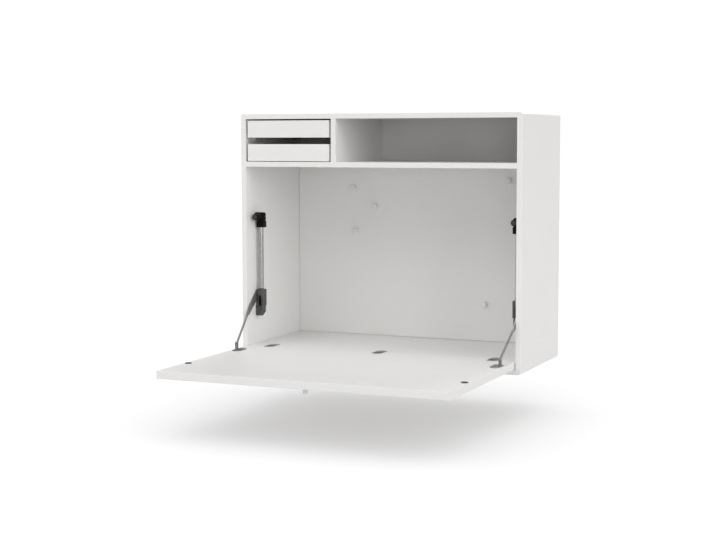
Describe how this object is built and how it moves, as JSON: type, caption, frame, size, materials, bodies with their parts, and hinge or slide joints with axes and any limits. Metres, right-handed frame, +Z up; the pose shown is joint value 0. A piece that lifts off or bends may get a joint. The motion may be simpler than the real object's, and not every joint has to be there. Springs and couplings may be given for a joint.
{
  "type": "fold down wall desk",
  "caption": "Wall cabinet whose lower front folds down on stays to make a writing surface, with letter trays, an open niche and a magnetic back board.",
  "frame": {"origin": "centre of the wall rail's four screw holes, on the wall plane", "axes": "+X to the right seen from the front, +Y into the wall, +Z up"},
  "size_m": [0.696, 0.7178, 0.585],
  "materials": {
    "lacquer": "white matt lacquer on fibreboard",
    "board_steel": "white powder coat",
    "white_plastic": "white, satin",
    "dowel_wood": "plain beech",
    "rail_aluminium": "mill finish",
    "screw_steel": "zinc plated",
    "hinge_steel": "dark nickel, satin",
    "runner_plastic": "pale, waxy",
    "rod_steel": "polished",
    "black_plastic": "black, satin",
    "cast_zinc": "die cast, satin grey",
    "magnet_steel": "nickel plated"
  },
  "bodies": {
    "cabinet": {"back_panel": "lacquer", "board_magnets": "white_plastic", "board_spacers": "white_plastic", "bottom_panel": "lacquer", "cabinet_rail": "rail_aluminium", "cabinet_rail_screws": "screw_steel", "carcass_dowels": "dowel_wood", "catch_magnets": "magnet_steel", "divider": "lacquer", "floor_board": "lacquer", "hanging_board": "lacquer", "hinge_floor_leaves": "hinge_steel", "hinge_floor_screws": "hinge_steel", "hinge_pins": "hinge_steel", "left_side_panel": "lacquer", "left_stay_foot": "cast_zinc", "left_stay_head": "black_plastic", "left_stay_rod": "rod_steel", "magnet_board": "board_steel", "right_side_panel": "lacquer", "right_stay_foot": "cast_zinc", "right_stay_head": "black_plastic", "right_stay_rod": "rod_steel", "shelf": "lacquer", "stay_screws": "screw_steel", "top_panel": "lacquer", "tray_runner_screws": "screw_steel", "tray_runners": "runner_plastic", "wall_rail": "rail_aluminium"},
    "upper_tray": {"upper_tray_front": "lacquer", "upper_tray_body": "board_steel", "upper_tray_screws": "screw_steel"},
    "lower_tray": {"lower_tray_front": "lacquer", "lower_tray_body": "board_steel", "lower_tray_screws": "screw_steel", "lower_tray_glides": "runner_plastic"},
    "flap": {"flap_panel": "lacquer", "flap_knob": "white_plastic", "flap_knob_stud": "screw_steel", "hinge_flap_leaves": "hinge_steel", "hinge_flap_screws": "hinge_steel", "left_stay_bracket": "cast_zinc", "right_stay_bracket": "cast_zinc", "stay_bracket_screws": "screw_steel", "stay_bracket_pins": "screw_steel", "strike_discs": "hinge_steel", "strike_screws": "screw_steel"},
    "left_stay_arm": {"left_stay_arm": "cast_zinc", "left_stay_arm_rivet": "cast_zinc"},
    "right_stay_arm": {"right_stay_arm": "cast_zinc", "right_stay_arm_rivet": "cast_zinc"},
    "left_stay_slider": {"left_stay_slider": "cast_zinc"},
    "right_stay_slider": {"right_stay_slider": "cast_zinc"}
  },
  "joints": [
    {"name": "flap_hinge", "type": "hinge", "parent": "cabinet", "child": "flap", "pos_m": [0, -0.288, -0.4807], "axis": [-1, 0, 0], "range_deg": [0, 90]},
    {"name": "left_arm_pivot", "type": "hinge", "parent": "flap", "child": "left_stay_arm", "pos_m": [-0.325, -0.374, -0.4602], "axis": [1, 0, 0], "range_deg": [0, 133.63]},
    {"name": "left_slider_run", "type": "slide", "parent": "cabinet", "child": "left_stay_slider", "axis": [0, 0, 1], "range_m": [0, 0.12132]},
    {"name": "right_arm_pivot", "type": "hinge", "parent": "flap", "child": "right_stay_arm", "pos_m": [0.325, -0.374, -0.4602], "axis": [1, 0, 0], "range_deg": [0, 133.63]},
    {"name": "right_slider_run", "type": "slide", "parent": "cabinet", "child": "right_stay_slider", "axis": [0, 0, 1], "range_m": [0, 0.12132]},
    {"name": "upper_tray_slide", "type": "slide", "parent": "cabinet", "child": "upper_tray", "axis": [0, -1, 0], "range_m": [0, 0.2]},
    {"name": "lower_tray_slide", "type": "slide", "parent": "cabinet", "child": "lower_tray", "axis": [0, -1, 0], "range_m": [0, 0.2]}
  ],
  "couplings": [
    {"joint": "left_arm_pivot", "follows": "flap_hinge", "ratio": 1.4843},
    {"joint": "left_slider_run", "follows": "flap_hinge", "m_per_rad": 0.077205},
    {"joint": "right_arm_pivot", "follows": "flap_hinge", "ratio": 1.4843},
    {"joint": "right_slider_run", "follows": "flap_hinge", "m_per_rad": 0.077205}
  ]
}
